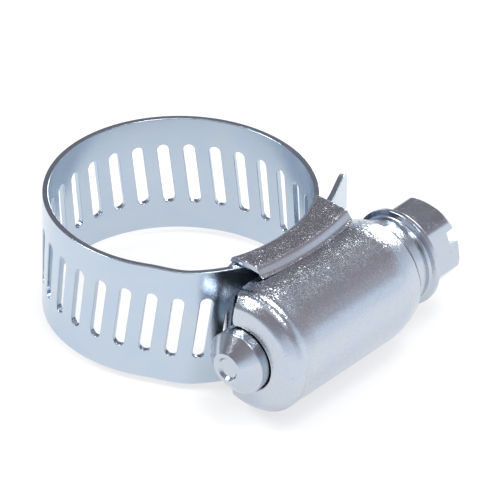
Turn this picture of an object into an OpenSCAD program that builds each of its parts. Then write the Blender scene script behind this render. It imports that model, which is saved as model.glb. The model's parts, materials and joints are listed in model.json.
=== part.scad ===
// Worm-drive hose clamp with a slotted band, lying on the edge of its band.
// Frame: origin in the middle of the round seat, +Z along the hose, the housing on -Y, the screw head on +X.

/* [Band] */
// Radius of the round seat that grips the hose
seat_r = 12.7; // [12.5:0.1:13]
// Height of the band, along the hose
band_h = 12.7; // [12:0.1:13]
// Thickness of the band
band_t = 0.6; // [0.5:0.05:0.6]
// Distance between slots along the band, which is the lead of the worm
slot_pitch = 2.6; // [2.5:0.05:2.7]
// Length of a slot, across the band
slot_len = 6.7; // [6:0.1:8]
// Width of a slot, along the band
slot_w = 1.15; // [1:0.05:1.25]
// Lean of the slots from upright, in degrees
slot_lean = 7; // [5:0.5:9]
// How far the free end of the band lies outside the fixed end
lane_rise = 0.75; // [0.7:0.05:0.8]
// Length of the free tail beyond the housing
tail_len = 9.3; // [8:0.1:10]

/* [Housing] */
// Outer radius of the barrel
barrel_r = 6.2; // [6:0.05:6.4]
// Thickness of the housing sheet
sheet_t = 0.7; // [0.6:0.05:0.8]
// Distance of the screw's axis from the middle of the ring
screw_y = 16.75; // [16.7:0.05:16.9]

/* [Screw] */
// Outer radius of the worm thread
worm_r = 3.4; // [3.3:0.05:3.45]
// Radius at the root of the thread
root_r = 2.55; // [2.4:0.05:2.6]
// Distance across the flats of the hexagonal head
hex_af = 8; // [7:0.5:8]
// Width of the screwdriver slot
drive_slot_w = 1.3; // [1:0.1:1.6]

/* [Hidden] */
// Running clearance of the screw in its two bearings.
bearing_gap = 0.05;
// Gap between two lengths of band at a flexing line.
flex_gap = 0.06;
// Middle radius of the ring and of the free end where it runs through the housing.
ring_r = seat_r + band_t / 2;
lane_r = ring_r + lane_rise;
// The slots sit this far past the middle of the housing, and the thread with them.
slot_shift = 0.7;
// Slots from the middle of the housing back to the first flexing line of the free end.
slots_to_flex = 6;
// Slots ahead of the middle of the housing, in the curved part of the free end.
slots_ahead = 1;
// Slots in the straight part that follows.
tail_slots = 2;
// Flexing lines round the ring, every third slot.
flex_count = 8;
link_slots = 3;
// The ring starts to climb onto the outer lane here, at the sixth flexing line.
climb_start = 140.59;
// Extra angle at the ends of a bent strip, taken off again by its end cuts.
cut_pad = 4.5;
// The free end leaves the lane along its tangent here, and its last stretch bends towards the ring a little.
tail_start = 291.5;
tail_straight = 4.25;
tail_bend = 4;
tail_bend_r = 8;
tail_corner = 1.5;
// The tail laps this far into the end of the lane, at half its thickness.
tail_key = 0.3;
// The saddle under the housing reaches from here to here.
saddle_from = 234;
saddle_to = 294;
saddle_t = 0.5;
// The lug that ties the fixed end into the saddle.
lug_stem = [4, 5];
lug_head = [3, 8];
lug_gap = 0.05;
// The saddle's arms, which fold over the edges of the band and onto the barrel.
arm_low = band_h / 2 + 0.07;
arm_t = 0.65;
arm_top = arm_low + arm_t;
arm_left = -5.9;
arm_right = 7.4;
arm_inner_r = seat_r + 0.2;
arm_from = 244;
// Slant of the arms' two ends.
arm_slant_left = 8;
arm_slant_right = 20;
// Stations of the housing along the screw's axis.
barrel_from = -7.4;
barrel_to = 7.4;
wall_x = -10.3;
wall_hole_r = 3.2 + bearing_gap;
nose_x = 9.8;
bearing_r = 3.8;
bearing_from = 7.8;
bearing_top = -12.45;
opening_y = -14.25;
notch_x = -8.6;
notch_y = -15.2;
// Stations of the screw.
tip_x = -12.7;
cone_x = -11.05;
tip_r = 1.6;
journal_r = wall_hole_r - bearing_gap;
collar_r = 4.6;
lip_r = 5;
lip_x = 12.3;
hex_x = 12.9;
hex_end = 17.3;
hex_turn = 9;
drive_slot_turn = 150;
drive_slot_d = 1.3;
thread_from = -6.4;
thread_to = 6.6;
thread_steps = 32;

function at(r, a) = [r * cos(a), r * sin(a)];
function deg(len, r) = len / r * 180 / PI;
// Angle of a slot on the outer lane, counted in slots from the middle of the housing.
function lane_angle(m) = 270 + deg(slot_shift + m * slot_pitch, lane_r);

// The climb is one arc, tangent to the ring at climb_start, that meets the lane at the first flexing line.
flex_end = at(lane_r, lane_angle(-slots_to_flex));
climb_dir = at(1, climb_start);
climb_reach = flex_end * climb_dir;
climb_r = (lane_r * lane_r - 2 * ring_r * climb_reach + ring_r * ring_r) / (2 * (ring_r - climb_reach));
climb_mid = (ring_r - climb_r) * climb_dir;
climb_end = atan2(flex_end.y - climb_mid.y, flex_end.x - climb_mid.x) + 360;
climb_len = (climb_end - climb_start) * PI / 180 * climb_r;

// A place on the ring, by its distance back from the first flexing line of the free end: the middle of its arc,
// the arc's radius and its angle. Slots are counted from the fixed end.
function flex_at(back) = back <= climb_len
    ? [climb_mid, climb_r, climb_end - deg(back, climb_r)]
    : [[0, 0], ring_r, climb_start - deg(back - climb_len, ring_r)];
function slot_place(s) = flex_at((flex_count * link_slots - s) * slot_pitch);
function flex(i) = slot_place(i * link_slots);
function flex_point(f) = f[0] + at(f[1], f[2]);

// A stretch of flat strip bent to a radius, from one angle to another.
module strip(mid, r, from, to, height, thick) {
    translate([mid.x, mid.y, 0])
        rotate([0, 0, from])
            rotate_extrude(angle = to - from, $fn = 180)
                translate([r - thick / 2, -height / 2])
                    square([thick, height]);
}

// Puts its children at a point of the band, with X outwards, Y along the band and the slot's lean.
module on_band(point, angle) {
    translate([point.x, point.y, 0])
        rotate([0, 0, angle])
            rotate([-slot_lean, 0, 0])
                children();
}

module slot_cut(point, angle) {
    straight = slot_len - slot_w;
    through = 3;
    on_band(point, angle) {
        cube([through, slot_w, straight], center = true);
        for (z = [-1, 1] * straight / 2)
            translate([0, 0, z])
                rotate([0, 90, 0])
                    cylinder(d = slot_w, h = through, center = true, $fn = 32);
    }
}

// The slots of the ring from one number to another.
module ring_slots(from, to) {
    for (s = [from:to])
        slot_cut(flex_point(slot_place(s)), slot_place(s)[2]);
}

// Takes away what lies past a flexing line, on the side that way points to.
module end_cut(point, angle, way) {
    reach = 4;
    translate([point.x, point.y, 0])
        rotate([0, 0, angle])
            translate([0, way * (reach - flex_gap) / 2, 0])
                cube([reach, reach, 2 * band_h], center = true);
}

// One length of band between two neighbouring flexing lines, each through the middle of a slot.
module band_link(i) {
    from = flex(i);
    to = flex(i + 1);
    turn = deg(link_slots * slot_pitch, from[1]);
    color("lightsteelblue")
        difference() {
            strip(from[0], from[1], from[2] - cut_pad, from[2] + turn + cut_pad, band_h, band_t);
            end_cut(flex_point(from), from[2], -1);
            end_cut(flex_point(to), to[2], 1);
            ring_slots(i * link_slots, (i + 1) * link_slots);
        }
}

module band_link_01() band_link(1);
module band_link_02() band_link(2);
module band_link_03() band_link(3);
module band_link_04() band_link(4);
module band_link_05() band_link(5);
module band_link_06() band_link(6);
module band_link_07() band_link(7);

// The lug that locks the fixed end in the saddle, or the cut for it when grow is above zero.
module lug(grow) {
    r = seat_r + saddle_t / 2;
    swell = deg(grow, r);
    stem_from = saddle_to - deg(lug_stem[0], r);
    head_from = stem_from - deg(lug_head[0], r);
    lap = 0.1;
    thick = grow > 0 ? 3 * saddle_t : saddle_t;
    strip([0, 0], r, stem_from - lap, saddle_to + 1, lug_stem[1] + 2 * grow, thick);
    strip([0, 0], r, head_from - swell, stem_from + swell, lug_head[1] + 2 * grow, thick);
}

module band_fixed_end() {
    first = flex(1);
    from = saddle_to - 360 + deg(lug_gap, ring_r);
    color("lightsteelblue")
        difference() {
            union() {
                strip([0, 0], ring_r, from, first[2] + cut_pad, band_h, band_t);
                lug(0);
            }
            end_cut(flex_point(first), first[2], 1);
            ring_slots(1, link_slots);
        }
}

// The tail, laid along X from the end of the lane: flat, bent on a short arc, and flat again to its nose.
module tail() {
    arc_end = [tail_straight + tail_bend_r * sin(tail_bend), tail_bend_r * (1 - cos(tail_bend))];
    last_len = tail_len - tail_straight - tail_bend_r * tail_bend * PI / 180;
    tip = arc_end + last_len * at(1, tail_bend);
    corner_z = band_h / 2 - tail_corner;
    function bend_line(r) = [for (a = [0:tail_bend / 3:tail_bend])
        [tail_straight + r * sin(a), tail_bend_r - r * cos(a)]];
    function side_line(off) = concat([[-tail_key, off / 2], [0, off / 2], [0, off]], bend_line(tail_bend_r - off),
        [tip + at(off, tail_bend + 90)]);
    function reversed(list) = [for (i = [len(list) - 1:-1:0]) list[i]];
    intersection() {
        translate([0, 0, -band_h / 2])
            linear_extrude(band_h)
                polygon(concat(side_line(-band_t / 2), reversed(side_line(band_t / 2))));
        rotate([90, 0, 0])
            linear_extrude(10, center = true)
                hull() {
                    translate([-1, -band_h / 2])
                        square([2, band_h]);
                    for (z = [-1, 1] * corner_z)
                        translate([tip.x - tail_corner, z])
                            circle(tail_corner, $fn = 32);
                }
    }
}

module band_free_end() {
    first = lane_angle(-slots_to_flex);
    lane_end = at(lane_r, tail_start);
    past_end = slot_pitch - (tail_start - lane_angle(slots_ahead)) * PI / 180 * lane_r;
    color("lightsteelblue")
        difference() {
            union() {
                strip([0, 0], lane_r, first - cut_pad, tail_start, band_h, band_t);
                translate([lane_end.x, lane_end.y, 0])
                    rotate([0, 0, tail_start + 90])
                        tail();
            }
            end_cut(flex_end, first, -1);
            for (m = [-slots_to_flex:slots_ahead])
                slot_cut(at(lane_r, lane_angle(m)), lane_angle(m));
            for (m = [0:tail_slots - 1])
                slot_cut(lane_end + at(past_end + m * slot_pitch, tail_start + 90), tail_start);
        }
}

// Section of an arm: flat over the band's edge, a fillet up the barrel's side and a rounded crest.
arm_section = [[11, arm_low], [14.92, arm_low], [14.98, 6.02], [15.6, 6.14], [16.4, 6.24], [16.5, 6.34],
    [15.85, 6.5], [15.3, 6.72], [14.7, 6.9], [13.6, arm_top - 0.04], [11, arm_top]];

// Takes away what lies past one end of an arm; the cut's face runs through the point x, y.
module arm_cut(x, y, slant, way) {
    translate([x, y, 0])
        rotate([0, 0, slant])
            translate([way > 0 ? 0 : -3, -10, 0])
                cube([3, 12, 9]);
}

module saddle_arm() {
    difference() {
        translate([arm_right, 0, 0])
            rotate([90, 0, -90])
                linear_extrude(arm_right - arm_left)
                    polygon(arm_section);
        cylinder(r = arm_inner_r, h = 20, $fn = 180);
        arm_cut(arm_left, -11, arm_slant_left, -1);
        arm_cut(arm_right, -11.6, -arm_slant_right, 1);
    }
}

module saddle() {
    base_r = seat_r + saddle_t / 2;
    base_end = saddle_to - 0.5;
    color("silver")
        difference() {
            union() {
                strip([0, 0], base_r, saddle_from, saddle_to, band_h, saddle_t);
                strip([0, 0], base_r, arm_from, base_end, 2 * arm_low + arm_t, saddle_t);
                saddle_arm();
                mirror([0, 0, 1])
                    saddle_arm();
            }
            lug(lug_gap);
        }
}

// Turns its children so that their Z runs along the screw's axis.
module along_screw() {
    translate([0, -screw_y, 0])
        rotate([0, 90, 0])
            children();
}

// Section of the barrel, by radius and place along the screw: outside up to the nose, then inside back.
barrel_in = barrel_r - sheet_t;
housing_section = [[wall_hole_r, wall_x], [4.6, wall_x + 0.1], [5, wall_x + 0.35], [5.4, -9.55], [5.8, -8.9],
    [6.08, -8.15], [barrel_r, barrel_from], [barrel_r, barrel_to], [6.08, 8.4], [5.75, 9.2],
    [5.3, nose_x - 0.1], [5, nose_x], [bearing_r + bearing_gap, nose_x], [bearing_r + bearing_gap, 8.4],
    [4.6, 8.3], [5.1, 8], [barrel_in, barrel_to], [barrel_in, barrel_from], [5.1, -8.2], [4.6, -9.1],
    [4.1, wall_x + sheet_t], [wall_hole_r, wall_x + sheet_t]];
// Two opposite corners of the lip that stands beside the band's upper edge.
housing_lip = [[-5.2, -14.85, 5], [5.8, -14.3, arm_low - 0.03]];

// Takes away what lies nearer the ring than y, between two places along the screw.
module opening(from, to, y) {
    translate([from, y, -8])
        cube([to - from, 10, 16]);
}

module housing() {
    color("gainsboro")
        union() {
            difference() {
                along_screw()
                    rotate_extrude($fn = 96)
                        polygon(housing_section);
                opening(-12, notch_x + 0.01, notch_y);
                opening(notch_x, bearing_from + 0.1, opening_y);
                opening(bearing_from, 12, bearing_top);
            }
            for (side = [0, 1])
                mirror([0, 0, side])
                    translate(housing_lip[0])
                        cube(housing_lip[1] - housing_lip[0]);
        }
}

// The worm thread: one ring of points for each step of the helix, low at both ends.
module worm_thread() {
    first = floor((thread_from - slot_shift) / slot_pitch * thread_steps);
    last = ceil((thread_to - slot_shift) / slot_pitch * thread_steps);
    count = last - first;
    fade_steps = thread_steps / 2;
    foot_r = root_r - 0.2;
    low_r = root_r + 0.02;
    foot_w = 0.55;
    crest_w = 0.25;
    function rise(k) = min(1, k / fade_steps, (count - k) / fade_steps);
    function crest_at(k) = low_r + (worm_r - low_r) * rise(k);
    function section_at(k) = [[foot_r, -foot_w], [crest_at(k), -crest_w], [crest_at(k), crest_w], [foot_r, foot_w]];
    function ring_at(k) = let (turn = 90 + (first + k) * 360 / thread_steps,
        z = slot_shift + (first + k) * slot_pitch / thread_steps)
        [for (p = section_at(k)) [p[0] * cos(turn), p[0] * sin(turn), z + p[1]]];
    points = [for (k = [0:count]) each ring_at(k)];
    sides = [for (k = [0:count - 1], j = [0:3]) let (a = 4 * k + j, b = 4 * k + (j + 1) % 4)
        each [[a, b, b + 4], [a, b + 4, a + 4]]];
    end = 4 * count;
    caps = [[3, 2, 1], [3, 1, 0], [end, end + 1, end + 2], [end, end + 2, end + 3]];
    polyhedron(points, concat(sides, caps));
}

module screw_shaft() {
    rotate_extrude($fn = 96)
        polygon([[0, tip_x + 0.35], [0.9, tip_x + 0.35], [1.1, tip_x], [tip_r - 0.15, tip_x], [tip_r, tip_x + 0.15],
            [journal_r - 0.15, cone_x], [journal_r, cone_x + 0.2], [journal_r, wall_x + sheet_t + 0.3],
            [root_r, wall_x + sheet_t + 0.9], [root_r, 6.9], [bearing_r - 0.4, 7.6], [4.1, 7.6], [4.1, 8.2],
            [bearing_r, 8.2], [bearing_r, nose_x + 0.12], [collar_r - 0.15, nose_x + 0.12], [collar_r, nose_x + 0.3],
            [collar_r, lip_x - 0.25], [lip_r - 0.1, lip_x], [lip_r, lip_x + 0.15], [lip_r, hex_x - 0.15],
            [lip_r - 0.15, hex_x], [0, hex_x]]);
}

module screw_head() {
    lap = 0.1;
    crown = [[0, hex_x - lap], [5, hex_x - lap], [5, hex_end - 1.6], [4.45, hex_end - 0.75], [4, hex_end - 0.3],
        [3.5, hex_end - 0.08], [3, hex_end], [0, hex_end]];
    difference() {
        intersection() {
            translate([0, 0, hex_x - lap])
                rotate([0, 0, hex_turn + 90])
                    cylinder(r = hex_af / sqrt(3), h = hex_end - hex_x + lap, $fn = 6);
            rotate_extrude($fn = 96)
                polygon(crown);
        }
        rotate([0, 0, drive_slot_turn + 90])
            translate([-6, -drive_slot_w / 2, hex_end - drive_slot_d])
                cube([12, drive_slot_w, 3]);
    }
}

module screw() {
    color("lightgray")
        along_screw()
            union() {
                screw_shaft();
                worm_thread();
                screw_head();
            }
}

housing();
saddle();
screw();
band_fixed_end();
band_link_01();
band_link_02();
band_link_03();
band_link_04();
band_link_05();
band_link_06();
band_link_07();
band_free_end();
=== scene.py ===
"""A worm-drive hose clamp in bright zinc: slotted band, saddle, housing and screw. Lengths are in mm."""
import json
import math

import bpy
import numpy as np
from mathutils import Matrix, Vector, geometry


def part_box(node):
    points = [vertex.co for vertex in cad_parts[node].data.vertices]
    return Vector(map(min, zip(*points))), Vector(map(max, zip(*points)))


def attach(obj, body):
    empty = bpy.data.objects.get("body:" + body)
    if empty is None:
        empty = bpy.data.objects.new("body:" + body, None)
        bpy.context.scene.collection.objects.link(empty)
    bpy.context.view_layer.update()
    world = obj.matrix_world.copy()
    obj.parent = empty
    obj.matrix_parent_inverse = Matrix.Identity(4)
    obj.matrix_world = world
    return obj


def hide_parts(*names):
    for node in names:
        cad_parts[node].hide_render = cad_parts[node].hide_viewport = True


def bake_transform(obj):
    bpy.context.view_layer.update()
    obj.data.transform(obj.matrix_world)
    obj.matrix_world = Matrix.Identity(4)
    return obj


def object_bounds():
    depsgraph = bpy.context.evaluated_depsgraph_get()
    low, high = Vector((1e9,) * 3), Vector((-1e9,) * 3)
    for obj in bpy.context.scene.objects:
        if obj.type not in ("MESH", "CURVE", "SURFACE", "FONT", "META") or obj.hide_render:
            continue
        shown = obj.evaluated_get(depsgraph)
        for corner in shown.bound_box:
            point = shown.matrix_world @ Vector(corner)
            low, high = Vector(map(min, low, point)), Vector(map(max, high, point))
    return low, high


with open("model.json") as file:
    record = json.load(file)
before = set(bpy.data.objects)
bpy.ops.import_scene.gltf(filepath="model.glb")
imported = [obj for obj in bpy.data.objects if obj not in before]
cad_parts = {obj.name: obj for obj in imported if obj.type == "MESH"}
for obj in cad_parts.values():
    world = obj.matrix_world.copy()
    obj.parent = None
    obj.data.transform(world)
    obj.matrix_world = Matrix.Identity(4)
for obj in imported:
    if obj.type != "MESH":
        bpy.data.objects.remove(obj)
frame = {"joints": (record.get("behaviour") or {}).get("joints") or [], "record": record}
cad_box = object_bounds()

MM = 0.001

# ---------------------------------------- sizes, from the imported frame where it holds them
mounts = {m["name"]: m for m in frame["record"]["mounts"]}
joints = {j["name"]: j for j in frame["joints"]}
SEAT_R = mounts["hose_seat"]["dims"]["r_mm"]
SCREW_Y = joints["screw_turn"]["pos_m"][1] / MM
HEX_END = mounts["drive_hex"]["pos_m"][0] / MM
BAND_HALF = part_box("band_link_05")[1].z / MM
FLEX_COUNT = sum(name.startswith("band_flex") for name in joints)

EDGE = 0.1  # rounding of a sheet's cut edge

# The band runs on the ring, climbs onto the outer lane, passes the housing there and ends in the tail.
BAND_T = 0.6
LANE_RISE = 0.75
RING_R = SEAT_R + BAND_T / 2
LANE_R = RING_R + LANE_RISE
CLIMB_FROM = math.radians(207)
CLIMB_TO = math.radians(226)
BAND_START = 0.05  # gap between the fixed end and the end of the saddle
TAIL_START = math.radians(291.5)
TAIL_LEN = 9.3
TAIL_STRAIGHT = 4.25
TAIL_BEND = math.radians(4)
TAIL_BEND_R = 8
TAIL_CORNER = 1.5

PITCH = 2.6
SLOT_LEN = 6.7
SLOT_W = 1.15
SLOT_LEAN = math.radians(7)
SLOT_SHIFT = 0.7  # from the middle of the housing to its nearest slot, towards the head
SLOTS_TO_FLEX = 6  # from that slot back to the last flexing line
SLOTS_AHEAD = 3  # from that slot on to the last slot
LINK_SLOTS = 3

SADDLE_T = 0.5
SADDLE_R = SEAT_R + SADDLE_T / 2
SADDLE_FROM = math.radians(240)
SADDLE_TO = math.radians(294)
SADDLE_CHAMFER = 0.8
LUG_OUT = 1  # the lug: a T that reaches from the fixed end into a window in the saddle
LUG_STEM = 4
LUG_REACH = 7
STEM_HALF = 2.5
LUG_HALF = 4
LUG_GAP = 0.05

BARREL_R = 6.2
SHEET_T = 0.7


# ---------------------------------------- meshes
def add_mesh(name, verts, faces, normals=None, flat=()):
    """A piece from points in mm. normals holds one for each point; a face listed in flat keeps its own."""
    mesh = bpy.data.meshes.new(name)
    points = [tuple(p) for p in np.asarray(verts, float) * MM]
    mesh.from_pydata(points, [], [tuple(int(i) for i in face) for face in faces])
    mesh.polygons.foreach_set("use_smooth", [True] * len(mesh.polygons))
    mesh.update()
    if normals is not None:
        flat = set(flat)
        corners = []
        for poly in mesh.polygons:
            for i in poly.vertices:
                corners.append(tuple(poly.normal) if poly.index in flat else tuple(normals[i]))
        mesh.normals_split_custom_set(corners)
    piece = bpy.data.objects.new(name, mesh)
    bpy.context.scene.collection.objects.link(piece)
    return piece


def unit(v):
    v = np.asarray(v, float)
    return v / np.maximum(np.linalg.norm(v, axis=-1, keepdims=True), 1e-12)


def eased(t):
    """0 up to t = 0, 1 from t = 1, and a smooth step between them."""
    t = np.clip(t, 0, 1)
    return t * t * (3 - 2 * t)


def resample(loop, step):
    """The same closed loop with no edge longer than step."""
    out = []
    for a, b in zip(loop, np.roll(loop, -1, axis=0)):
        count = max(1, math.ceil(np.linalg.norm(b - a) / step - 1e-6))
        out += [a + (b - a) * k / count for k in range(count)]
    return np.array(out)


def inside(points, loops):
    """Which points lie inside the first loop and outside the others, by the even-odd rule."""
    odd = np.zeros(len(points), bool)
    for loop in loops:
        for a, b in zip(loop, np.roll(loop, -1, axis=0)):
            crosses = (a[1] > points[:, 1]) != (b[1] > points[:, 1])
            with np.errstate(divide="ignore", invalid="ignore"):
                at = a[0] + (points[:, 1] - a[1]) * (b[0] - a[0]) / (b[1] - a[1])
            odd ^= crosses & (points[:, 0] < at)
    return odd


def triangulate(loops, loose, within):
    """Triangles between closed loops and loose points, kept where their middle lies within. Returns points,
    triangles and, for each point given, the number of the point that stands for it."""
    edges, start = [], 0
    for loop in loops:
        edges += [(start + k, start + (k + 1) % len(loop)) for k in range(len(loop))]
        start += len(loop)
    given = [Vector(p) for p in np.concatenate([*loops, loose])]
    made, _, triangles, origins, _, _ = geometry.delaunay_2d_cdt(given, edges, [], 0, 1e-7)
    points = np.array([tuple(p) for p in made])
    triangles = np.array(triangles)
    triangles = triangles[inside(points[triangles].mean(1), within)]
    return points, triangles, {i: k for k, given_ones in enumerate(origins) for i in given_ones}


def loose_points(rims, grid):
    """Points about grid apart, inside the rims and clear of them."""
    low, high = rims[0].min(0), rims[0].max(0)
    counts = [max(1, round((high[k] - low[k]) / grid[k])) for k in (0, 1)]
    axes = [low[k] + (high[k] - low[k]) * np.arange(1, counts[k]) / counts[k] for k in (0, 1)]
    points = np.array([(u, v) for u in axes[0] for v in axes[1]]).reshape(-1, 2)
    points = points[inside(points, rims)]
    every = np.concatenate(rims)
    clear = [np.linalg.norm(every - p, axis=1).min() > 0.45 * min(grid) for p in points]
    return points[np.array(clear, bool)]


def edge_rows(half, edge):
    """A rounded edge from the top face to the bottom one, as rows of inset, height, and how far the normal
    points outwards and up."""
    rows = []
    for a in (math.radians(90), math.radians(60), math.radians(30), 0):
        rows.append((edge * (1 - math.cos(a)), half - edge * (1 - math.sin(a)), math.cos(a), math.sin(a)))
    return rows + [(inset, -height, out, -up) for inset, height, out, up in reversed(rows)]


def outward(loop, seams):
    """The way out of the sheet at each point of a loop, and which edges of the loop are seams."""
    sharpest = 0.6
    along = unit(np.roll(loop, -1, axis=0) - loop)
    out = np.stack([along[:, 1], -along[:, 0]], 1)
    both = unit(out + np.roll(out, 1, axis=0))
    both /= np.maximum(sharpest, np.sum(both * out, axis=1, keepdims=True))
    on = np.zeros(len(loop), bool)
    for u in seams:
        on |= np.abs(loop[:, 0] - u) < 1e-6
    ends = on & (np.abs(np.abs(loop[:, 1]) - np.abs(loop[:, 1]).max()) < 1e-6)
    both[on & ~ends] = 0
    both[ends] = np.stack([np.zeros(ends.sum()), np.sign(loop[ends, 1])], 1)
    return both, on & np.roll(on, -1)


def plate(loops, thick, place, step=0.4, grid=(0.4, 1.2), edge=EDGE, seams=()):
    """A sheet with rounded edges. loops are closed outlines in the sheet's own (u, v), the first one round it
    counter-clockwise and the rest holes in it, clockwise. place takes (u, v, height) to the part's frame, and
    seams are values of u where the sheet carries on in the next piece, so that its cut end stays flat.
    Returns points, faces, normals and the faces of the flat ends."""
    half = thick / 2
    rows = edge_rows(half, edge)
    points, directions, faces, flat = [], [], [], []
    tops, bottoms = [], []
    for loop in (resample(np.asarray(loop, float), step) for loop in loops):
        out, seam = outward(loop, seams)
        base, n = len(points), len(loop)
        for inset, height, side, up in rows:
            points += [(*p, height) for p in loop - out * inset]
            directions += [(*o, up) for o in out * side]
        for row in range(len(rows) - 1):
            for k in range(n):
                a, b = base + row * n + k, base + row * n + (k + 1) % n
                if seam[k]:
                    flat.append(len(faces))
                faces.append((a, a + n, b + n, b))
        tops.append(np.arange(base, base + n))
        bottoms.append(np.arange(len(points) - n, len(points)))
    points = np.array(points)
    rims = [points[top, :2] for top in tops]
    corners, triangles, made_from = triangulate(rims, loose_points(rims, grid), rims)
    top_of, bottom_of = {}, {}
    for i, (top, bottom) in enumerate(zip(np.concatenate(tops), np.concatenate(bottoms))):
        top_of[made_from[i]], bottom_of[made_from[i]] = top, bottom
    inner = []
    for i in range(sum(map(len, rims)), len(made_from)):
        k = made_from[i]
        top_of[k] = len(points) + len(inner)
        bottom_of[k] = top_of[k] + 1
        inner += [(*corners[k], half), (*corners[k], -half)]
        directions += [(0, 0, 1), (0, 0, -1)]
    for a, b, c in triangles:
        faces.append((top_of[a], top_of[b], top_of[c]))
        faces.append((bottom_of[c], bottom_of[b], bottom_of[a]))
    points = np.concatenate([points, np.reshape(inner, (-1, 3))])
    return place(*points.T), faces, placed_normals(points, np.array(directions), place), flat


def placed_normals(points, directions, place):
    """Directions in a sheet's own (u, v, height), turned into the part's frame."""
    u, v, h = points.T
    small = 1e-3
    du = (place(u + small, v, h) - place(u - small, v, h)) / (2 * small)
    dv = (place(u, v + small, h) - place(u, v - small, h)) / (2 * small)
    across = unit(np.cross(du, dv))
    return unit(unit(du) * directions[:, :1] + unit(dv) * directions[:, 1:2] + across * directions[:, 2:])


def stacked(shells):
    """The points and faces of several closed shells as one set."""
    points, faces = [], []
    for shell in shells:
        start = sum(map(len, points))
        points.append(np.asarray(shell[0], float))
        faces += [tuple(i + start for i in face) for face in shell[1]]
    return np.concatenate(points), faces


def joined(*plates):
    """Several plates as one."""
    points, faces = stacked(plates)
    flat, before = [], 0
    for _, own_faces, _, own_flat in plates:
        flat += [before + k for k in own_flat]
        before += len(own_faces)
    return points, faces, np.concatenate([normals for _, _, normals, _ in plates]), flat


def swept(rings):
    """A closed solid through equal rings of points, with its two ends capped by fans."""
    count, size = len(rings), len(rings[0])
    faces = []
    for k in range(count - 1):
        for j in range(size):
            a, b = k * size + j, k * size + (j + 1) % size
            faces.append((a, b, b + size, a + size))
    first, last = count * size, (count - 1) * size
    faces += [((j + 1) % size, j, first) for j in range(size)]
    faces += [(last + j, last + (j + 1) % size, first + 1) for j in range(size)]
    return np.concatenate([*rings, [rings[0].mean(0), rings[-1].mean(0)]]), faces


def corner_normals(points, faces, limit):
    """A normal for each corner of each face, shared by faces that meet there at less than limit degrees."""
    area = []
    for face in faces:
        p = points[list(face)]
        area.append(sum(np.cross(p[k] - p[0], p[k + 1] - p[0]) for k in range(1, len(p) - 1)))
    area = np.array(area)
    lean = unit(area)
    around = [[] for _ in points]
    for k, face in enumerate(faces):
        for i in face:
            around[i].append(k)
    bound = math.cos(math.radians(limit))
    corners = []
    for k, face in enumerate(faces):
        for i in face:
            alike = [m for m in around[i] if lean[m] @ lean[k] > bound]
            corners.append(unit(area[alike].sum(0)))
    return corners


def add_solid(name, shells, limit):
    """A piece from closed shells, smooth except along edges sharper than limit degrees."""
    points, faces = stacked(shells)
    piece = add_mesh(name, points, faces)
    piece.data.normals_split_custom_set([tuple(c) for c in corner_normals(points, faces, limit)])
    return piece


# ---------------------------------------- lines
def on_circle(r, a):
    return np.array([r * math.cos(a), r * math.sin(a)])


def arc_points(middle, r, start, end, step=15):
    """Points on a flat arc from start to end in degrees, both included, about step degrees apart."""
    count = max(1, math.ceil(abs(end - start) / step))
    angles = [math.radians(start + (end - start) * k / count) for k in range(count + 1)]
    return [(middle[0] + r * math.cos(a), middle[1] + r * math.sin(a)) for a in angles]


def arc_line(middle, r, start, end, count=400):
    """count points along an arc in radians. r is a number, or a function of the angle."""
    angles = np.linspace(start, end, count)
    r = r(angles) if callable(r) else r
    return np.stack([middle[0] + r * np.cos(angles), middle[1] + r * np.sin(angles)], 1)


def filleted(corners, radii, step=6):
    """An open line through corners, each inner one rounded by its own radius."""
    corners = [np.array(c, float) for c in corners]
    out = [corners[0]]
    for before, here, after, r in zip(corners, corners[1:], corners[2:], radii):
        a, b = unit(before - here), unit(after - here)
        half = math.acos(np.clip(a @ b, -1, 1)) / 2
        middle = here + unit(a + b) * r / math.sin(half)
        start = here + a * r / math.tan(half) - middle
        end = here + b * r / math.tan(half) - middle
        turn = math.pi - 2 * half
        side = np.sign(start[0] * end[1] - start[1] * end[0])
        count = max(2, math.ceil(math.degrees(turn) / step))
        for k in range(count + 1):
            t = side * turn * k / count
            c, s = math.cos(t), math.sin(t)
            out.append(middle + np.array([c * start[0] - s * start[1], s * start[0] + c * start[1]]))
    return np.array(out + [corners[-1]])


def track(line, blur, step=0.02):
    """A line as a function of the distance along it, which gives points and unit tangents, and its length.
    The line's kinks are evened out over about blur."""
    gaps = np.linalg.norm(np.diff(line, axis=0), axis=1)
    at = np.concatenate([[0], np.cumsum(gaps)])
    s = np.arange(0, at[-1] + step / 2, step)
    p = np.stack([np.interp(s, at, line[:, k]) for k in (0, 1)], 1)
    reach = int(3 * blur / step)
    weights = np.exp(-0.5 * (np.arange(-reach, reach + 1) * step / blur) ** 2)
    weights /= weights.sum()
    lead = 2 * p[0] - p[reach:0:-1]
    trail = 2 * p[-1] - p[-2:-reach - 2:-1]
    longer = np.concatenate([lead, p, trail])
    p = np.stack([np.convolve(longer[:, k], weights, "valid") for k in (0, 1)], 1)
    t = unit(np.gradient(p, axis=0))

    def at_distance(x):
        here = np.stack([np.interp(x, s, p[:, k]) for k in (0, 1)], -1)
        way = unit(np.stack([np.interp(x, s, t[:, k]) for k in (0, 1)], -1))
        beyond = np.where(x < 0, x, np.where(x > s[-1], x - s[-1], 0))
        return here + way * beyond[..., None], way
    return at_distance, s[-1]


def evened(ring, count):
    """count points spread evenly round a closed ring."""
    line = np.array(ring + ring[:1])
    at = np.concatenate([[0], np.cumsum(np.linalg.norm(np.diff(line, axis=0), axis=1))])
    s = np.linspace(0, at[-1], count + 1)[:-1]
    return np.stack([np.interp(s, at, line[:, k]) for k in range(3)], 1)


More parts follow.
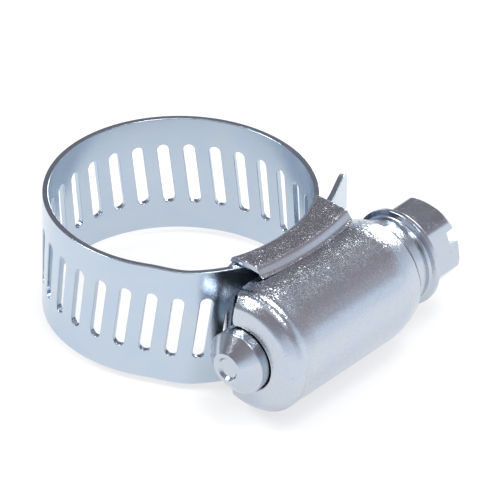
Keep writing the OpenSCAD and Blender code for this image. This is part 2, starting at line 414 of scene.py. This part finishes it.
# ---------------------------------------- materials
class NodeTree:
    """The nodes of a material or the world. An input is a plain value or another node's output."""

    def __init__(self, owner):
        owner.use_nodes = True
        self.tree = owner.node_tree

    def feed(self, node, inputs):
        """Sets the inputs of a node, or of the tree's own node of that name."""
        node = self.tree.nodes[node] if isinstance(node, str) else node
        for key, value in inputs.items():
            if isinstance(value, bpy.types.NodeSocket):
                self.tree.links.new(value, node.inputs[key])
            else:
                node.inputs[key].default_value = value
        return node

    def add(self, kind, inputs, **settings):
        node = self.tree.nodes.new(kind)
        for key, value in settings.items():
            setattr(node, key, value)
        return self.feed(node, inputs)

    def noise(self, where, scale, detail):
        tex = self.add("ShaderNodeTexNoise", {"Vector": where, "Scale": scale, "Detail": detail})
        return tex.outputs["Fac"]

    def remap(self, value, low, high, to_low, to_high):
        limits = {"From Min": low, "From Max": high, "To Min": to_low, "To Max": to_high}
        return self.add("ShaderNodeMapRange", {"Value": value, **limits}).outputs["Result"]

    def multiply(self, a, b):
        return self.add("ShaderNodeMath", {0: a, 1: b}, operation="MULTIPLY").outputs["Value"]

    def mix(self, factor, a, b):
        return self.add("ShaderNodeMix", {0: factor, 6: a, 7: b}, data_type="RGBA").outputs[2]


def scaled(colour, shares):
    """A colour with each channel multiplied by its share, and full alpha."""
    return (*(c * k for c, k in zip(colour, shares)), 1)


def zinc(name, tint, rough, grain, facets, mottle=0.0, drawn=0.0):
    """Bright zinc plate. rough is its roughness, grain a fine bump, facets how far small crystals tilt and so
    sparkle, mottle the strength of dark spots, and drawn that of fine level lines."""
    material = bpy.data.materials.new(name)
    tree = NodeTree(material)
    where = tree.add("ShaderNodeTexCoord", {}).outputs["Object"]
    normal = tree.add("ShaderNodeNewGeometry", {}).outputs["Normal"]

    def noise(per_mm, detail):
        return tree.noise(where, per_mm / MM, detail)

    # Colour: the tint, with clouds of blue passivation and darker spots. The gloss varies with the grain.
    blue = 0.35
    passivation = tree.remap(noise(0.35, 4), 0.35, 0.65, 0, blue)
    colour = tree.mix(passivation, scaled(tint, (1, 1, 1)), scaled(tint, (0.86, 0.95, 1.08)))
    spots = tree.remap(noise(3.4, 3), 0.62, 0.74, 0, mottle)
    colour = tree.mix(spots, colour, scaled(tint, (0.62, 0.56, 0.55)))
    gloss = tree.remap(noise(9, 2), 0.3, 0.7, rough * 0.75, rough * 1.35)

    # Crystals: each cell tilts the normal its own way, in patches, and most of all on faces that look up.
    crystals_per_mm = 9.5
    cells = tree.add("ShaderNodeTexVoronoi", {"Vector": where, "Scale": crystals_per_mm / MM})
    middle = (0.5, 0.5, 0.5)
    lean = tree.add("ShaderNodeVectorMath", {0: cells.outputs["Color"], 1: middle}, operation="SUBTRACT")
    patches = tree.remap(noise(0.9, 3), 0.35, 0.65, facets * 0.5, facets)
    up = tree.add("ShaderNodeSeparateXYZ", {0: normal}).outputs["Z"]
    amount = tree.multiply(patches, tree.remap(up, 0.6, 0.9, 0.2, 1.0))
    tilt = tree.add("ShaderNodeVectorMath", {0: lean.outputs["Vector"], "Scale": amount}, operation="SCALE")
    tilted = tree.add("ShaderNodeVectorMath", {0: normal, 1: tilt.outputs["Vector"]})
    crystals = tree.add("ShaderNodeVectorMath", {0: tilted.outputs["Vector"]}, operation="NORMALIZE")

    # Bumps: lines drawn out level, close together up the part, and a fine grain all over.
    stretched = tree.add("ShaderNodeMapping", {"Vector": where, "Scale": (0.25, 0.25, 9)}).outputs["Vector"]
    lines = tree.add("ShaderNodeBump", {
        "Height": tree.noise(stretched, 1.2 / MM, 2), "Normal": crystals.outputs["Vector"],
        "Strength": drawn, "Distance": 0.01 * MM})
    fine = tree.add("ShaderNodeBump", {
        "Height": noise(8.0, 3), "Normal": lines.outputs["Normal"], "Strength": grain, "Distance": 0.03 * MM})
    tree.feed("Principled BSDF", {
        "Metallic": 1.0, "Base Color": colour, "Roughness": gloss, "Normal": fine.outputs["Normal"]})
    return material


materials = {
    "zinc_band": zinc("zinc_band", (0.50, 0.575, 0.655), 0.20, 0.25, facets=0.05, drawn=0.12),
    "zinc_housing": zinc("zinc_housing", (0.53, 0.575, 0.63), 0.22, 0.10, facets=0.34, mottle=0.25),
    "zinc_saddle": zinc("zinc_saddle", (0.47, 0.49, 0.54), 0.22, 0.10, facets=0.34, mottle=0.30),
    "zinc_screw": zinc("zinc_screw", (0.52, 0.565, 0.62), 0.17, 0.12, facets=0.24, mottle=0.25),
}


def finish_piece(piece, slot):
    piece.data.materials.append(materials[slot])
    return piece


# ---------------------------------------- the band's path
def climb(a):
    """Radius of the band's middle at an angle: on the ring, then up a short ramp onto the outer lane."""
    return RING_R + LANE_RISE * eased((a - CLIMB_FROM) / (CLIMB_TO - CLIMB_FROM))


tail_mid = on_circle(LANE_R, TAIL_START) + TAIL_STRAIGHT * on_circle(1, TAIL_START + math.pi / 2)
tail_mid -= TAIL_BEND_R * on_circle(1, TAIL_START)
tail_bend = arc_line(tail_mid, TAIL_BEND_R, TAIL_START, TAIL_START + TAIL_BEND, 20)
tail_way = on_circle(1, TAIL_START + math.pi / 2 + TAIL_BEND)
tail_tip = tail_bend[-1] + tail_way * (TAIL_LEN - TAIL_STRAIGHT - TAIL_BEND_R * TAIL_BEND)
lane_slot_at = math.radians(270) + SLOT_SHIFT / LANE_R
before_slot = arc_line((0, 0), climb, SADDLE_TO - 2 * math.pi, lane_slot_at, 2000)
lane = arc_line((0, 0), LANE_R, lane_slot_at, TAIL_START)
path, path_len = track(np.concatenate([before_slot, lane[1:], tail_bend, [tail_tip]]), blur=0.3)
lane_slot_s = np.linalg.norm(np.diff(before_slot, axis=0), axis=1).sum()
last_flex_s = lane_slot_s - SLOTS_TO_FLEX * PITCH
link_len = LINK_SLOTS * PITCH


def on_band(u, v, h):
    """Distance along the band, height over its middle and distance outwards, to the part's frame."""
    p, t = path(u)
    return np.stack([p[:, 0] + t[:, 1] * h, p[:, 1] - t[:, 0] * h, v], 1)


def on_saddle(u, v, h):
    """Distance round the saddle, height over its middle and distance outwards, to the part's frame."""
    a = u / SADDLE_R
    return np.stack([(SADDLE_R + h) * np.cos(a), (SADDLE_R + h) * np.sin(a), v], 1)


# ---------------------------------------- the band
def slot_outline(s):
    """A slot's outline round a distance along the band, clockwise."""
    half, r = (SLOT_LEN - SLOT_W) / 2, SLOT_W / 2
    line = arc_points((0, half), r, 180, 0) + arc_points((0, -half), r, 0, -180)
    c, n = math.cos(SLOT_LEAN), math.sin(SLOT_LEAN)
    return [(s + p * c + q * n, q * c - p * n) for p, q in line]


def rectangle(u0, u1, half):
    return [(u0, -half), (u1, -half), (u1, half), (u0, half)]


for i in range(1, FLEX_COUNT + 1):
    s = last_flex_s - (FLEX_COUNT - i) * link_len
    cuts = (s - link_len / 2, s + link_len / 2)
    sheet = [rectangle(*cuts, BAND_HALF)] + [slot_outline(at) for at in (s - PITCH, s, s + PITCH)]
    cell = add_mesh(f"band_flex_{i:02d}", *plate(sheet, BAND_T, on_band, seams=cuts))
    finish_piece(cell, "zinc_band")
    middle, way = (found[0] for found in path(np.array([s])))
    start, end = ((*((middle + way * d) * MM), 0) for d in (-link_len / 2, link_len / 2))
    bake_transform(cell)
    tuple(start)
    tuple(end)
    if i < FLEX_COUNT:
        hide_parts(f"band_link_{i:02d}")


saddle_end = SADDLE_TO * SADDLE_R
lug = [(LUG_OUT, -STEM_HALF), (LUG_OUT, STEM_HALF), (-LUG_STEM, STEM_HALF), (-LUG_STEM, LUG_HALF),
       (-LUG_REACH, LUG_HALF), (-LUG_REACH, -LUG_HALF), (-LUG_STEM, -LUG_HALF), (-LUG_STEM, -STEM_HALF)]
lug_plate = plate([[(saddle_end + u, v) for u, v in lug]], SADDLE_T, on_saddle, step=0.5, grid=(0.5, 1))
first_cut = last_flex_s - (FLEX_COUNT - 0.5) * link_len
fixed_loops = [rectangle(BAND_START, first_cut, BAND_HALF), slot_outline(first_cut - PITCH / 2)]
fixed_plate = plate(fixed_loops, BAND_T, on_band, seams=(first_cut,))
fixed = finish_piece(add_mesh("band_fixed", *joined(fixed_plate, lug_plate)), "zinc_band")
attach(fixed, "root")
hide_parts("band_fixed_end")

last_cut = last_flex_s + link_len / 2
corner_u, corner_v = path_len - TAIL_CORNER, BAND_HALF - TAIL_CORNER
tail_end = arc_points((corner_u, -corner_v), TAIL_CORNER, -90, 0)
tail_end += arc_points((corner_u, corner_v), TAIL_CORNER, 0, 90)
free_loops = [[(last_cut, -BAND_HALF), *tail_end, (last_cut, BAND_HALF)]]
free_loops += [slot_outline(last_flex_s + k * PITCH) for k in range(2, SLOTS_TO_FLEX + SLOTS_AHEAD + 1)]
free_plate = plate(free_loops, BAND_T, on_band, seams=(last_cut,))
free = finish_piece(add_mesh("band_free", *free_plate), "zinc_band")
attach(free, joints[f"band_flex_{FLEX_COUNT:02d}"]["child"])
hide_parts("band_free_end")

# ---------------------------------------- the saddle
ARM_LEFT, ARM_RIGHT = -5.9, 7.4
ARM_TOP = BAND_HALF + 0.72
ARM_UNDER = BAND_HALF + 0.07
ARM_BITE = 0.2  # how far the saddle's sheet reaches up inside the arm
ARM_REACH = 0.4  # how far the middle of the arm reaches inside the seat
FOLD_R = 0.62  # of the fold over the band's edge
BROW_Y, BROW_BOW = -14.5, 0.7
VALLEY_Z, FOOT_Z = 6.24, 6.16
VALLEY_IN, FOOT_IN = 0.5, 0.3
BARREL_FROM_Y = -14.9  # the arm lies on the barrel beyond this
THINNEST = 0.03

tongue_u = SADDLE_FROM * SADDLE_R
arm_u = math.radians(244) * SADDLE_R
tab_v = ARM_UNDER + ARM_BITE
tab_end = saddle_end - 0.1
side_edge = [(tongue_u, SADDLE_CHAMFER - BAND_HALF), (tongue_u + SADDLE_CHAMFER, -BAND_HALF),
             (arm_u, -BAND_HALF), (arm_u, -tab_v), (tab_end, -tab_v), (tab_end, -BAND_HALF),
             (saddle_end, -BAND_HALF)]
stem_u, head_u = saddle_end - LUG_STEM + LUG_GAP, saddle_end - LUG_REACH - LUG_GAP
stem_v, head_v = STEM_HALF + LUG_GAP, LUG_HALF + LUG_GAP
half_window = [(saddle_end, -stem_v), (stem_u, -stem_v), (stem_u, -head_v), (head_u, -head_v)]
half_outline = side_edge + half_window
saddle_outline = half_outline + [(u, -v) for u, v in reversed(half_outline)]
saddle_plate = plate([saddle_outline], SADDLE_T, on_saddle, step=0.5, grid=(0.5, 1))


def arm_ring(x):
    """An arm's closed outline at x: from its inner edge over the top to the barrel, and back underneath."""
    bow = 1 - ((2 * x - ARM_LEFT - ARM_RIGHT) / (ARM_RIGHT - ARM_LEFT)) ** 2
    brow = BROW_Y - BROW_BOW * bow
    valley = brow - VALLEY_IN
    foot = valley - FOOT_IN
    corners = [(-11.0, ARM_TOP), (brow, ARM_TOP - 0.04), (valley, VALLEY_Z), (foot, FOOT_Z)]
    top_line = filleted(corners, (0.5, 0.25))
    inner = -math.sqrt((SEAT_R + 0.02) ** 2 - x * x) + ARM_REACH * bow
    fold = [(inner - FOLD_R + FOLD_R * math.sin(t), ARM_TOP - FOLD_R + FOLD_R * math.cos(t))
            for t in np.radians([90, 70, 50, 30, 10])]
    ys = inner + (foot - inner) * np.linspace(0, 1, 46)[1:]
    zs = np.interp(-ys, -top_line[:, 0], top_line[:, 1])
    top = [(y, z) for y, z in zip(ys, zs) if y < inner - FOLD_R]
    under = []
    for y, z in reversed(top):
        crown = math.sqrt(max(0.0, BARREL_R ** 2 - (y - SCREW_Y) ** 2)) - 0.02 if y < BARREL_FROM_Y else 0
        under.append((y, min(max(min(ARM_UNDER, z - 0.08), crown), z - THINNEST)))
    from_end = min(x - ARM_LEFT, ARM_RIGHT - x)
    pull = EDGE - math.sqrt(max(0.0, EDGE ** 2 - max(0.0, EDGE - from_end) ** 2))
    ring = [(x, y, z - pull) for y, z in fold + top]
    ring += [(x, y, z + pull * 0.6) for y, z in under]
    return ring + [(x, inner - 0.02, ARM_UNDER)]


def arm_shell(side):
    """One arm: over the edge of the band, flat, over a soft shoulder, and down in a hollow onto the barrel's
    crown."""
    ends = (0.0, 0.03, 0.1)
    xs = [ARM_LEFT + d for d in ends]
    xs += list(np.linspace(ARM_LEFT + 0.3, ARM_RIGHT - 0.3, 40))
    xs += [ARM_RIGHT - d for d in reversed(ends)]
    points, faces = swept([evened(arm_ring(x), 90) * (1, 1, side) for x in xs])
    if side < 0:
        faces = [tuple(reversed(face)) for face in faces]
    return points, faces


saddle = finish_piece(add_solid("saddle", [saddle_plate, arm_shell(1), arm_shell(-1)], 40), "zinc_saddle")
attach(saddle, "root")
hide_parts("saddle")

# ---------------------------------------- the housing
# The wall's middle from the end wall over a raised bead and along the barrel to the nose: x, radius, fillet.
WALL = [(-9.95, 3.28, None), (-9.62, 5.0, 0.5), (-8.75, 5.95, 0.5), (-7.85, 5.7, 1.2), (-6.4, 5.84, 3.0),
        (6.9, 5.86, 6.5), (9.4, 5.1, 0.35), (9.46, 3.9, None)]
OPEN_TIP_Y, OPEN_Y, OPEN_HEAD_Y = -15.2, -14.25, -12.45  # the opening's edge at the tip, midway, at the head
OPEN_CORNER = 0.9

wall_corners = [(x, r) for x, r, _ in WALL]
wall, wall_len = track(filleted(wall_corners, [fillet for _, _, fillet in WALL[1:-1]]), blur=0.06)
half_turn = math.pi * BARREL_R


def on_housing(u, v, h):
    """Distance along the wall, distance round the barrel from its outer side and distance outwards, to the
    part's frame."""
    p, t = wall(u)
    x, r = p[:, 0] - t[:, 1] * h, p[:, 1] + t[:, 0] * h
    a = v / BARREL_R
    return np.stack([x, SCREW_Y - r * np.cos(a), -r * np.sin(a)], 1)


def gap_at(u):
    """Half the angle that the sheet leaves open towards the band."""
    x, r = wall(np.array([u]))[0][0]
    edge_y = OPEN_TIP_Y + (OPEN_Y - OPEN_TIP_Y) * eased((x + 9.3) / 1.5)
    edge_y += (OPEN_HEAD_Y - OPEN_Y) * eased((x - 7.6) / 1.2)
    return math.acos(np.clip((edge_y - SCREW_Y) / r, -1, 0.9995))


us = np.linspace(0, wall_len, 120)
edge_v = np.array([half_turn - gap_at(u) * BARREL_R for u in us])
edge_v -= OPEN_CORNER - np.sqrt(OPEN_CORNER ** 2 - np.clip(OPEN_CORNER - us, 0, OPEN_CORNER) ** 2)
housing_outline = [*zip(us, -edge_v), *zip(us[::-1], edge_v[::-1])]
housing_plate = plate([housing_outline], SHEET_T, on_housing, grid=(0.35, 0.45), edge=0.14)
housing = finish_piece(add_mesh("housing", *housing_plate), "zinc_housing")
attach(housing, "root")
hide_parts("housing")

# ---------------------------------------- the screw
ROOT_R, WORM_R = 2.55, 3.4
HEX_X = 12.9
# From the tip's dimple over both journals, the collars and the neck to the head: x, radius, fillet.
SHAFT = [(-12.35, 0.05, None), (-12.38, 0.95, 0.1), (-12.7, 1.2, 0.12), (-12.7, 1.6, 0.2),
         (-11.35, 3.2, 0.22), (-9.3, 3.2, 0.1), (-8.7, ROOT_R, 0.1), (6.9, ROOT_R, 0.1), (7.6, 3.4, 0.1),
         (7.6, 4.1, 0.1), (8.2, 4.1, 0.1), (8.2, 3.8, 0.05), (9.95, 3.8, 0.05), (9.95, 4.8, 0.16),
         (12.05, 4.35, 0.3), (12.35, 5.0, 0.12), (HEX_X, 5.0, 0.18), (HEX_X, 0.05, None)]


def shaft():
    """A solid of revolution about the screw's axis."""
    sides = 96
    angles = np.arange(sides) * 2 * math.pi / sides
    line = filleted([(x, r) for x, r, _ in SHAFT], [fillet for _, _, fillet in SHAFT[1:-1]], step=18)
    rings = [np.stack([np.full(sides, x), SCREW_Y + r * np.cos(angles), r * np.sin(angles)], 1)
             for x, r in line]
    return swept(rings)


THREAD_FROM, THREAD_TO = -6.4, 6.6
THREAD_FOOT, THREAD_CREST = 0.52, 0.22  # half its width
CREST_BEVEL = 0.08
STEPS_A_TURN = 48


def worm():
    """The thread: a sweep along the helix that meshes with the slots. Each end rises over half a turn."""
    first = math.floor((THREAD_FROM - SLOT_SHIFT) / PITCH * STEPS_A_TURN)
    last = math.ceil((THREAD_TO - SLOT_SHIFT) / PITCH * STEPS_A_TURN)
    foot = ROOT_R - 0.2
    lowest = foot + 0.22
    rings = []
    for k in range(first, last + 1):
        rise = min(1, (k - first) / (STEPS_A_TURN / 2), (last - k) / (STEPS_A_TURN / 2))
        crest = lowest + (WORM_R - lowest) * rise
        turn = math.radians(90) + k * 2 * math.pi / STEPS_A_TURN
        x = SLOT_SHIFT + k * PITCH / STEPS_A_TURN
        flank = [(foot, THREAD_FOOT), (crest - CREST_BEVEL, THREAD_CREST + 0.11), (crest, THREAD_CREST)]
        section = [(r, -w) for r, w in flank] + flank[::-1]
        way_y, way_z = math.sin(turn), -math.cos(turn)
        rings.append(np.array([(x + w, SCREW_Y + r * way_y, r * way_z) for r, w in section]))
    return swept(rings)


HEX_AF = 8
HEX_TURN = math.radians(9)
HEX_CORNER_R = 0.7
RIM_BEVEL = 0.12
DOME_FROM = 2.9
SLOT_TURN = math.radians(150)
DRIVE_D = 1.3
# Half the slot's section, with its rounded mouth: distance from its middle, depth.
DRIVE_SECTION = [(0.58, DRIVE_D), (0.63, 1.2), (0.69, 0.35), (0.74, 0.18), (0.82, 0.07), (0.92, 0.02),
                 (1.05, 0)]


def crossed(loop, lines):
    """The loop with a point added wherever it crosses one of the lines, which run along its first axis."""
    out = []
    for a, b in zip(loop, np.roll(loop, -1, axis=0)):
        hits = [(q - a[1]) / (b[1] - a[1]) for q in lines if (a[1] - q) * (b[1] - q) < 0]
        out += [a] + [a + (b - a) * t for t in sorted(hits)]
    return np.array(out)


def hex_head():
    """The head: a forged hexagon with a worn dome and a slot with a rounded mouth, as a surface over its
    outline."""
    centre_r = HEX_AF / math.sqrt(3) - HEX_CORNER_R / math.cos(math.radians(30))
    loop = []
    for k in range(6):
        a = HEX_TURN - SLOT_TURN + math.radians(60 * k)
        degrees = math.degrees(a)
        loop += arc_points(on_circle(centre_r, a), HEX_CORNER_R, degrees - 30, degrees + 30, 10)
    between = [0.0, 0.35, 0.60, 0.66]
    lines = sorted({s * q for s in (1, -1) for q in between + [q for q, _ in DRIVE_SECTION]})
    loop = crossed(resample(np.array(loop), 0.3), lines)
    spread = np.linspace(-5, 5, 41)
    loose = [(p, q) for q in lines for p in spread]
    loose += [(p, q) for p in spread for q in spread if abs(q) > 1.2]
    loose = np.array(loose)
    loose = loose[inside(loose, [loop * 0.975])]
    p, triangles, made_from = triangulate([loop], loose, [loop * 0.9999])
    rim = np.array([made_from[k] for k in range(len(loop))])
    dome = 0.267 * np.clip(np.linalg.norm(p, axis=1) - DOME_FROM, 0, None) ** 2.36  # how far the face falls
    depth = np.interp(np.abs(p[:, 1]), *zip(*DRIVE_SECTION))  # of the slot, 0 outside it
    top = HEX_END - np.maximum(dome, np.minimum(depth + dome * 0.3, DRIVE_D + 0.2))
    top[rim] -= RIM_BEVEL
    x = np.concatenate([top, np.full(len(rim), HEX_X - 0.1)])
    y, z = np.concatenate([p, p[rim]]).T
    c, s = math.cos(SLOT_TURN), math.sin(SLOT_TURN)
    points = np.stack([x, SCREW_Y + y * c - z * s, y * s + z * c], 1)
    n, foot = len(rim), len(p)
    faces = [tuple(t) for t in triangles]
    faces += [(rim[(k + 1) % n], rim[k], foot + k, foot + (k + 1) % n) for k in range(n)]
    faces.append(tuple(foot + k for k in reversed(range(n))))
    return points, faces


screw = finish_piece(add_solid("screw", [shaft(), worm(), hex_head()], 32), "zinc_screw")
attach(screw, "screw")
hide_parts("screw")


# ---------------------------------------- floor, room, lights and camera
def floor_material():
    """Pale matt paper with a glow of its own, which keeps it even and its shadow faint."""
    material = bpy.data.materials.new("floor_paper")
    tree = NodeTree(material)
    grey = (0.40, 0.40, 0.40, 1)
    tree.feed("Principled BSDF", {
        "Base Color": grey, "Roughness": 0.9, "Emission Color": grey, "Emission Strength": 1.5})
    return material


bpy.ops.mesh.primitive_plane_add(size=6, location=(0, 0, cad_box[0].z))
floor = bpy.context.object
floor.name = "floor"
floor.data.materials.append(floor_material())

# The room's colours by the height of the direction, from the horizon (0) to straight up (1). Below the
# horizon they stay as they are at 0.
ROOM = [(0.0, (0.66, 0.70, 0.75)), (0.20, (0.58, 0.63, 0.70)), (0.40, (0.38, 0.36, 0.38)),
        (0.56, (0.27, 0.23, 0.25)), (0.74, (0.27, 0.24, 0.26)), (0.88, (0.50, 0.50, 0.53)),
        (1.0, (0.60, 0.61, 0.64))]


def room():
    """The world: ROOM with soft uneven patches, brighter in front of the object and darker behind it."""
    world = bpy.data.worlds.new("studio")
    tree = NodeTree(world)
    way = tree.add("ShaderNodeTexCoord", {}).outputs["Generated"]
    split = tree.add("ShaderNodeSeparateXYZ", {0: way})
    ramp = tree.add("ShaderNodeValToRGB", {"Fac": split.outputs["Z"]})
    stops = ramp.color_ramp.elements
    for at, colour in ROOM[1:-1]:
        stops.new(at).color = (*colour, 1)
    stops[0].color = (*ROOM[0][1], 1)
    stops[-1].color = (*ROOM[-1][1], 1)
    uneven = tree.remap(tree.noise(way, 4.5, 3), 0.35, 0.65, 0.78, 1.3)
    darker_behind = tree.remap(split.outputs["Y"], -0.6, 0.6, 1.45, 0.72)
    tree.feed("Background", {
        "Color": ramp.outputs["Color"], "Strength": tree.multiply(uneven, darker_behind)})
    return world


bpy.context.scene.world = room()


def direction(azimuth, elevation):
    """Away from the object at angles in radians, azimuth 0 on -Y and a quarter turn on +X."""
    level = math.cos(elevation)
    return Vector((math.sin(azimuth) * level, -math.cos(azimuth) * level, math.sin(elevation)))


def softbox(name, azimuth, elevation, distance, size, power):
    """A square light that faces the object, with its angles in degrees and its lengths in metres."""
    light = bpy.data.lights.new(name, "AREA")
    light.size = size
    light.energy = power
    obj = bpy.data.objects.new(name, light)
    bpy.context.scene.collection.objects.link(obj)
    back = direction(math.radians(azimuth), math.radians(elevation))
    obj.location = back * distance
    obj.rotation_euler = back.to_track_quat("Z", "Y").to_euler()
    return obj


softbox("light_back_left", -138, 46, 0.7, 0.24, 2.0)
softbox("light_right", 104, 16, 0.7, 0.26, 1.8)
softbox("light_front_top", 0, 70, 0.7, 0.16, 1.0)
softbox("light_sparkle", 131, 62, 0.7, 0.10, 0.3)
key = softbox("light_key", -30, 62, 0.9, 0.9, 3.8)
key.visible_glossy = False

CAMERA_AZIMUTH, CAMERA_ELEVATION, CAMERA_DISTANCE = math.radians(-49.4), 0.5950, 619.1
PAN, TILT, ROLL = -0.0108, -0.0005, 0.0122

bpy.context.scene.view_settings.view_transform = "Standard"
camera = bpy.data.cameras.new("camera")
camera.lens = 463.7
camera.sensor_width = 36
camera.clip_start, camera.clip_end = 0.05, 20
eye = bpy.data.objects.new("camera", camera)
bpy.context.scene.collection.objects.link(eye)
bpy.context.scene.camera = eye
view_back = direction(CAMERA_AZIMUTH, CAMERA_ELEVATION)
eye.location = view_back * CAMERA_DISTANCE * MM
aim = view_back.to_track_quat("Z", "Y").to_matrix()
turn = Matrix.Rotation(PAN, 3, "Y") @ Matrix.Rotation(TILT, 3, "X") @ Matrix.Rotation(ROLL, 3, "Z")
eye.rotation_euler = (aim @ turn).to_euler()
